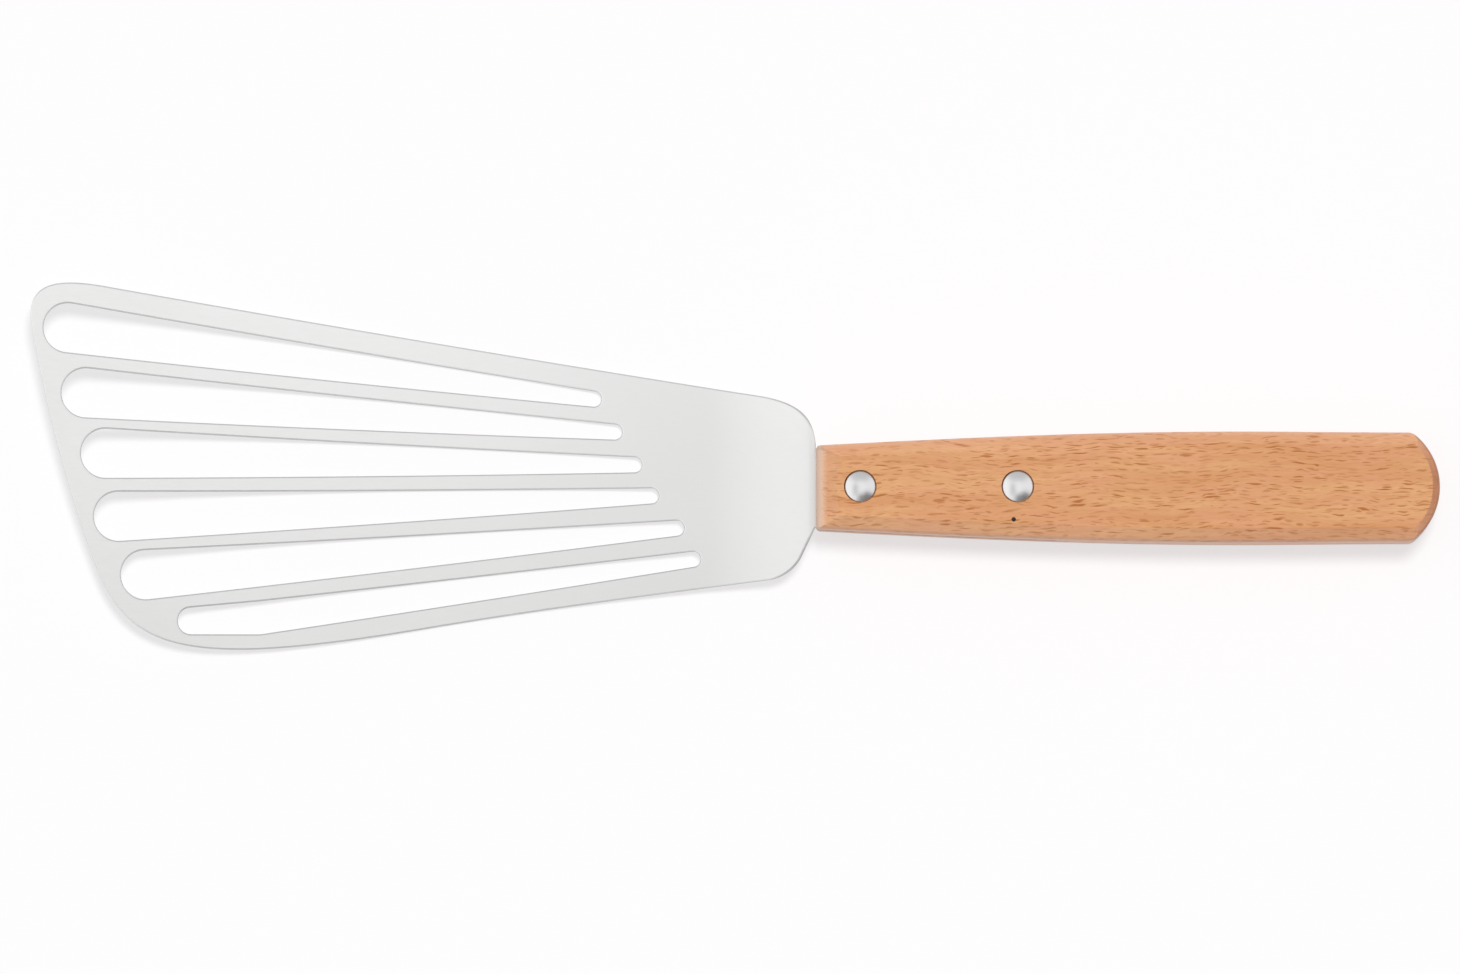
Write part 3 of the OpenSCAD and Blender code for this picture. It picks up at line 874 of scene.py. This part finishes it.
def beech():
    made = material("beech")
    n = Nodes(made)
    p = n.place()
    x, y, z = n.split(p)
    facing_x, facing_y, facing_z = n.facing()

    # The grain drifts, waves and wriggles, and a narrow side takes its pattern from above
    lift = 0.0
    sways = [
        (n.noise(p, (0.035, 0.05, 0.05)), 5.0),
        (n.noise(p, (0.13, 0.35, 0.15)), 1.3),
        (n.noise(p, (0.45, 0.9, 0.5), 1.0), 0.5),
    ]
    for sway, reach in sways:
        lift = n.plus(n.times(n.minus(sway, 0.5), reach), lift)
    side = n.math("GREATER_THAN", n.size(facing_y), 0.8)
    folded = n.times(side, n.minus(z, y))
    q = n.vector("ADD", p, n.combine(Y=n.plus(folded, lift), Z=n.times(folded, -1.0)))

    # Broad bands along the board, rosy clouds and fine fibre
    bands = n.noise(q, (0.014, 0.24, 0.2), 3.0, 0.55)
    clouds = n.noise(q, (0.05, 0.22, 0.2), 3.0, 0.6)
    fibre = n.noise(q, (0.20, 3.0, 3.5), 3.0, 0.65)
    colour = n.mix(n.map(bands, 0.34, 0.66, 0.0, 1.0, True), BAND_DARK, BAND_PALE)
    colour = n.mix(n.map(clouds, 0.44, 0.64, 0.0, 0.55, True), colour, CLOUD_ROSY)
    colour = n.mix(n.map(fibre, 0.40, 0.64, 0.0, 0.42), colour, FIBRE_DARK)

    # Rays stand closer in some places than in others
    crowd = n.map(n.noise(q, (0.07, 0.42, 0.3), 1.0), 0.36, 0.52, 0.5, 1.0, True)

    def dashes(cell, half, seed, least):
        """Short dark dashes along the grain, no two of one length and depth."""
        scaled = n.vector("ADD", n.vector("DIVIDE", q, cell), seed)
        cells = n.add("ShaderNodeTexVoronoi", Vector=scaled, Scale=1.0, Randomness=1.0)
        pick = n.add("ShaderNodeSeparateColor", Color=cells.outputs["Color"])
        longer = n.map(pick.outputs["Green"], 0.0, 1.0, 0.6, 1.3)
        thicker = n.map(pick.outputs["Blue"], 0.0, 1.0, 0.75, 1.15)
        reach = n.vector("MULTIPLY", n.combine(X=longer, Y=thicker, Z=1.0), half)
        away = n.vector("SUBTRACT", scaled, cells.outputs["Position"])
        away = n.vector("DIVIDE", away, reach)
        kept = n.times(n.map(pick.outputs["Red"], least, 0.75), crowd)
        return n.times(n.map(n.vector("LENGTH", away), 1.0, 0.45, 0.0, 1.0, True), kept)

    large = dashes((4.6, 1.10, 9.0), (0.44, 0.21, 1.3), (0.3, 0.7, 0.1), 0.05)
    small = dashes((3.2, 0.92, 8.0), (0.43, 0.20, 1.3), (4.1, 2.7, 3.3), 0.10)
    faint = n.map(n.noise(q, (0.10, 1.6, 0.4), 3.0, 0.6), 0.50, 0.70, 0.0, 1.0, True)

    # The sanded bevels are painted paler, a painted sheen on the sloped faces, and their rays are
    # weaker
    bevel_sheen = n.map(n.size(facing_z), 0.97, 0.78, 0.0, 0.5, True)
    level = n.map(bevel_sheen, 0.0, 0.5, 1.0, 0.62)
    large = n.times(large, level)
    colour = n.mix(bevel_sheen, colour, BEVEL_SHEEN)
    colour = n.mix(n.times(faint, 0.28), colour, RAY_FAINT)
    colour = n.mix(n.times(n.times(small, level), 0.80), colour, RAY_SMALL)
    colour = n.mix(n.times(large, 0.95), colour, RAY_LARGE)

    # The rounded lip round the front is painted pale, a painted reflection of the bright
    # surroundings at grazing angles
    ragged = n.plus(x, n.times(fibre, 1.6))
    lip_reflection = n.map(ragged, FRONT_X + 3.4, FRONT_X + 1.5, 0.0, 0.8, True)
    lip_reflection = n.times(lip_reflection, n.map(facing_x, -0.1, -0.4))
    colour = n.mix(lip_reflection, colour, LIP_REFLECTION)

    # End grain at the butt: growth rings and open pores. Its darker tone is partly the end
    # grain's own and partly painted shade, given only to the end turned away from the light
    growth = n.noise(p, (0.2, 0.16, 1.5), 3.0, 0.6)
    pores = n.noise(p, (1.0, 4.5, 4.5), 2.0, 0.6)
    end_tone = n.mix(n.map(growth, 0.36, 0.64), END_DARK, END_PALE)
    end_tone = n.mix(n.map(pores, 0.52, 0.70, 0.0, 0.5), end_tone, END_PORE)
    colour = n.mix(n.map(facing_x, 0.30, 0.70, 0.0, 0.92, True), colour, end_tone)

    away = n.vector("LENGTH", n.vector("SUBTRACT", p, SPOT_AT))
    colour = n.mix(n.map(away, SPOT_R, SPOT_CORE_R, 0.0, 1.0, True), colour, SPOT_DARK)

    dark = n.plus(n.times(large, 0.6), n.times(fibre, 0.5))
    shader = n.add(
        "ShaderNodeBsdfPrincipled",
        Base_Color=colour,
        Roughness=n.map(dark, 0.1, 0.9, 0.34, 0.48),
        Normal=n.bump(n.times(dark, -1.0), 0.2, 0.05),
        Specular_IOR_Level=0.3,
        Coat_Weight=0.12,
        Coat_Roughness=0.28,
    )
    n.finish(shader.outputs["BSDF"])
    return made


# The turner

steel = satin_steel()
turned = turned_steel()
wood = beech()

blade = build_blade()
blade.data.materials.append(steel)
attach(blade, "root")
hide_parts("blade")

handle = build_handle()
handle.data.materials.clear()
handle.data.materials.append(wood)
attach(handle, "root")
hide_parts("handle")

for name, x in (("front_rivet", RIVET_LEAD), ("rear_rivet", REAR_RIVET)):
    post, cap = build_rivet(name, x)
    for piece, node in ((post, name + "_post"), (cap, name + "_cap")):
        piece.data.materials.append(turned)
        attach(piece, "root")
        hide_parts(node)


# Floor, light and camera

WHITE = rgb(1.0, 1.0, 1.0)
FLOOR_PALE = rgb(0.97, 0.965, 0.968)
FLOOR_LIT = rgb(1.0, 0.985, 0.993)
FLOOR_HALF = 3.0
FLOOR_DROP = 0.02

# Share of the floor's look that is plain white, the rest being shaded
FLOOR_WHITE_SHARE = 0.65

# The studio: how bright the tent is that reflections show, where its dark gap and its dim hood
# lie, and the fill light's brighter side with its least and greatest strength
TENT_LEVEL = 1.21
GAP_WAY = (0.423, -0.906, 0.0)
HOOD_WAY = (0.0, 1.0, 0.0)
FILL_WAY = (-0.75, 0.66, 0.0)
FILL_LEAST = 0.25
FILL_MOST = 0.49

KEY_FROM = Vector((0.09, 0.24, 1.0))
KEY_STRENGTH = 2.1
KEY_ANGLE = math.radians(14)

# The photograph looks almost straight down, from a little way towards -Y
CAMERA_LEAN = math.radians(3.5)
CAMERA_FAR = 4.2
CAMERA_LENS = 495.2
CAMERA_TARGET = Vector((-1.026, -4.49, 7.8)) * MM


def build_floor():
    s = FLOOR_HALF
    mesh = bpy.data.meshes.new("floor")
    mesh.from_pydata([(-s, -s, 0), (s, -s, 0), (s, s, 0), (-s, s, 0)], [], [(0, 1, 2, 3)])
    floor = bpy.data.objects.new("floor", mesh)
    floor.location.z = -FLOOR_DROP * MM
    link(floor)
    made = material("floor_white")
    n = Nodes(made)
    shaded = n.add("ShaderNodeBsdfDiffuse", Color=FLOOR_PALE)
    white = n.add("ShaderNodeEmission", Color=FLOOR_LIT, Strength=1.0)
    paths = n.add("ShaderNodeLightPath")
    seen = n.math("MAXIMUM", paths.outputs["Is Camera Ray"], paths.outputs["Is Glossy Ray"])
    seen = n.math("MAXIMUM", seen, paths.outputs["Is Transmission Ray"])
    share = n.times(seen, FLOOR_WHITE_SHARE)
    n.finish(n.mix_shader(share, shaded.outputs[0], white.outputs[0]))
    mesh.materials.append(made)


def build_world():
    world = bpy.data.worlds.new("studio")
    bpy.context.scene.world = world
    world.use_nodes = True
    world.node_tree.nodes.clear()
    n = Nodes(world)
    way = n.add("ShaderNodeTexCoord").outputs["Generated"]
    level = n.vector("MULTIPLY", way, (1.0, 1.0, 0.0))
    lean = n.vector("LENGTH", level)
    round_way = n.vector("NORMALIZE", level)
    along, across, _ = n.split(way)

    def sector(toward, low, high):
        return n.map(n.vector("DOT_PRODUCT", round_way, toward), low, high, 0.0, 1.0, True)

    def ramp(value, low, high, most=1.0):
        return n.map(value, low, high, 0.0, most, True)

    # Reflections: a white tent, greyer towards the horizon, with a dark gap low in front and a
    # dim hood behind
    gap = n.times(sector(GAP_WAY, 0.68, 0.93), ramp(lean, 0.23, 0.52, 0.95))
    gap = n.times(gap, n.map(lean, 0.74, 0.90, 1.0, 0.25))
    hood = n.times(sector(HOOD_WAY, 0.5, 0.95), ramp(lean, 0.2, 0.5, 0.45))
    shade = n.minus(TENT_LEVEL, n.math("MAXIMUM", gap, hood))
    shade = n.minus(shade, ramp(lean, 0.66, 0.98, 0.22))

    # A dim patch towards the leading edge with a brighter band below it, and a dim edge towards
    # the butt
    dim = n.times(ramp(along, -0.06, -0.18, 0.46), ramp(along, -0.44, -0.30))
    beside = n.size(n.plus(across, 0.12))
    dim = n.times(dim, n.map(beside, 0.16, 0.40, 1.0, 0.0, True))
    dim = n.plus(dim, ramp(along, 0.20, 0.36, 0.07))
    shade = n.plus(n.minus(shade, dim), ramp(along, -0.36, -0.52, 0.08))

    # Fill: brighter from behind the leading edge than from the front of the butt
    fill = n.map(n.vector("DOT_PRODUCT", way, FILL_WAY), -1.0, 1.0, FILL_LEAST, FILL_MOST)
    paths = n.add("ShaderNodeLightPath")
    lights = [
        n.add("ShaderNodeBackground", Color=WHITE, Strength=strength).outputs[0]
        for strength in (fill, shade, 1.0)
    ]
    lit = n.mix_shader(paths.outputs["Is Glossy Ray"], lights[0], lights[1])
    seen = n.math("MAXIMUM", paths.outputs["Is Camera Ray"], paths.outputs["Is Transmission Ray"])
    n.finish(n.mix_shader(seen, lit, lights[2]), "ShaderNodeOutputWorld")


def build_key():
    """Large soft light from above and a little behind, which reflections don't show."""
    data = bpy.data.lights.new("key", "SUN")
    data.energy = KEY_STRENGTH
    data.angle = KEY_ANGLE
    key = bpy.data.objects.new("key", data)
    key.location = KEY_FROM
    key.rotation_mode = "QUATERNION"
    key.rotation_quaternion = (-KEY_FROM).to_track_quat("-Z", "Y")
    key.visible_glossy = False
    link(key)


def build_camera():
    data = bpy.data.cameras.new("camera")
    data.sensor_width = 36
    data.lens = CAMERA_LENS
    data.clip_start = 0.1
    data.clip_end = 20
    camera = bpy.data.objects.new("camera", data)
    way = Vector((0, -math.sin(CAMERA_LEAN), math.cos(CAMERA_LEAN)))
    camera.location = CAMERA_TARGET + CAMERA_FAR * way
    camera.rotation_euler = (CAMERA_LEAN, 0, 0)
    link(camera)
    bpy.context.scene.camera = camera


build_floor()
build_world()
build_key()
build_camera()

bpy.context.scene.view_settings.view_transform = "Standard"
